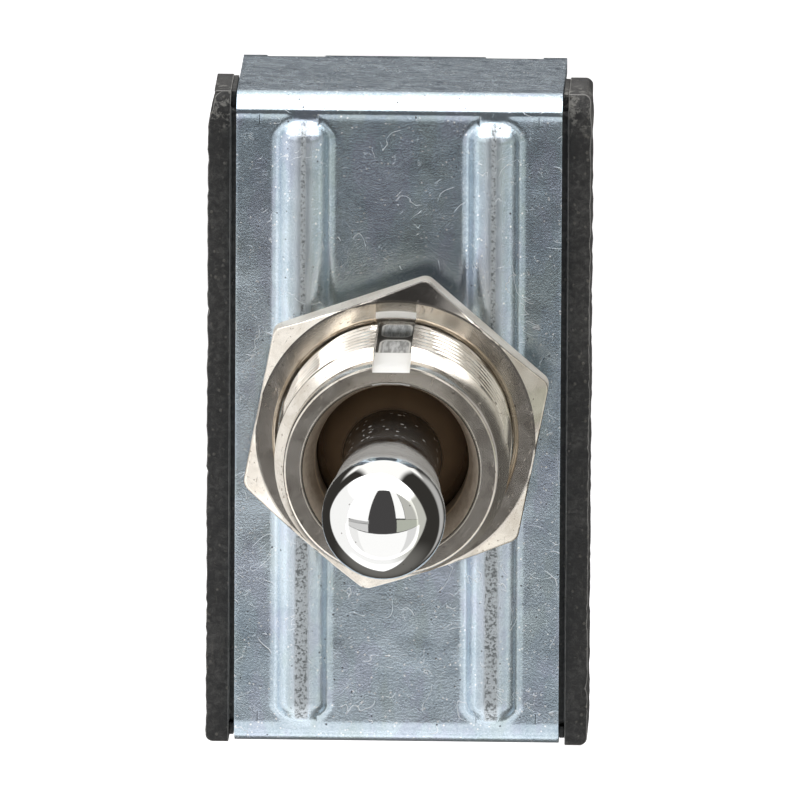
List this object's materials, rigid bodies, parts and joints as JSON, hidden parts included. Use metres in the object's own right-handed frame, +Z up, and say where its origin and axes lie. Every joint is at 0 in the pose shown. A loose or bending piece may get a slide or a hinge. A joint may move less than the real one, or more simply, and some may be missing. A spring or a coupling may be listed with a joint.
{
  "type": "toggle switch",
  "caption": "Panel toggle switch with a chrome bat lever, threaded nickel bushing, hex nut, ribbed zinc-plated bracket and black screw-terminal case.",
  "frame": {"origin": "on the bushing's axis, at the base of the terminal barriers under the case", "axes": "+Z up along the bushing towards the lever's tip, +Y towards the bushing's keyway, +X across the two poles"},
  "size_m": [0.0196, 0.034, 0.0503],
  "materials": {
    "zinc_steel": "satin",
    "nickel_plate": "satin",
    "chrome_plate": "gloss",
    "black_phenolic": "satin",
    "brass": "satin",
    "silver_contact": "satin",
    "spring_steel": "satin",
    "carrier_resin": "satin",
    "fibre_sheet": "matte"
  },
  "bodies": {
    "housing": {"case": "black_phenolic", "bracket": "zinc_steel", "bushing": "nickel_plate", "insulator_plate": "fibre_sheet", "common_terminal_left": "brass", "common_terminal_right": "brass", "end_terminal_left_front": "brass", "end_terminal_left_back": "brass", "end_terminal_right_front": "brass", "end_terminal_right_back": "brass", "fixed_contacts": "silver_contact", "terminal_screws": "nickel_plate"},
    "nut": {"mounting_nut": "nickel_plate"},
    "lever": {"toggle_lever": "chrome_plate", "pivot_pin": "spring_steel", "carrier": "carrier_resin", "plunger_spring_left": "spring_steel", "plunger_spring_right": "spring_steel"},
    "left_plunger": {"plunger_left": "brass"},
    "right_plunger": {"plunger_right": "brass"},
    "left_arm": {"contact_arm_left": "brass", "moving_contacts_left": "silver_contact"},
    "right_arm": {"contact_arm_right": "brass", "moving_contacts_right": "silver_contact"}
  },
  "joints": [
    {"name": "lever_pivot", "type": "hinge", "parent": "housing", "child": "lever", "pos_m": [0, 0, 0.0292], "axis": [1, 0, 0], "range_deg": [-14, 14]},
    {"name": "nut_travel", "type": "slide", "parent": "housing", "child": "nut", "axis": [0, 0, 1], "range_m": [-0.0008, 0.0102]},
    {"name": "left_arm_rock", "type": "hinge", "parent": "housing", "child": "left_arm", "pos_m": [-0.0042, 0, 0.00898], "axis": [1, 0, 0], "range_deg": [-8, 8]},
    {"name": "right_arm_rock", "type": "hinge", "parent": "housing", "child": "right_arm", "pos_m": [0.0042, 0, 0.00898], "axis": [1, 0, 0], "range_deg": [-8, 8]},
    {"name": "left_plunger_press", "type": "slide", "parent": "lever", "child": "left_plunger", "axis": [0, 0, 1], "range_m": [0, 0.0012], "stiffness_N_per_m": 1200, "springref_m": -0.002, "deforming": ["plunger_spring_left"]},
    {"name": "right_plunger_press", "type": "slide", "parent": "lever", "child": "right_plunger", "axis": [0, 0, 1], "range_m": [0, 0.0012], "stiffness_N_per_m": 1200, "springref_m": -0.002, "deforming": ["plunger_spring_right"]}
  ],
  "couplings": [
    {"joint": "left_arm_rock", "follows": "lever_pivot", "ratio": -0.57143},
    {"joint": "right_arm_rock", "follows": "lever_pivot", "ratio": -0.57143}
  ]
}
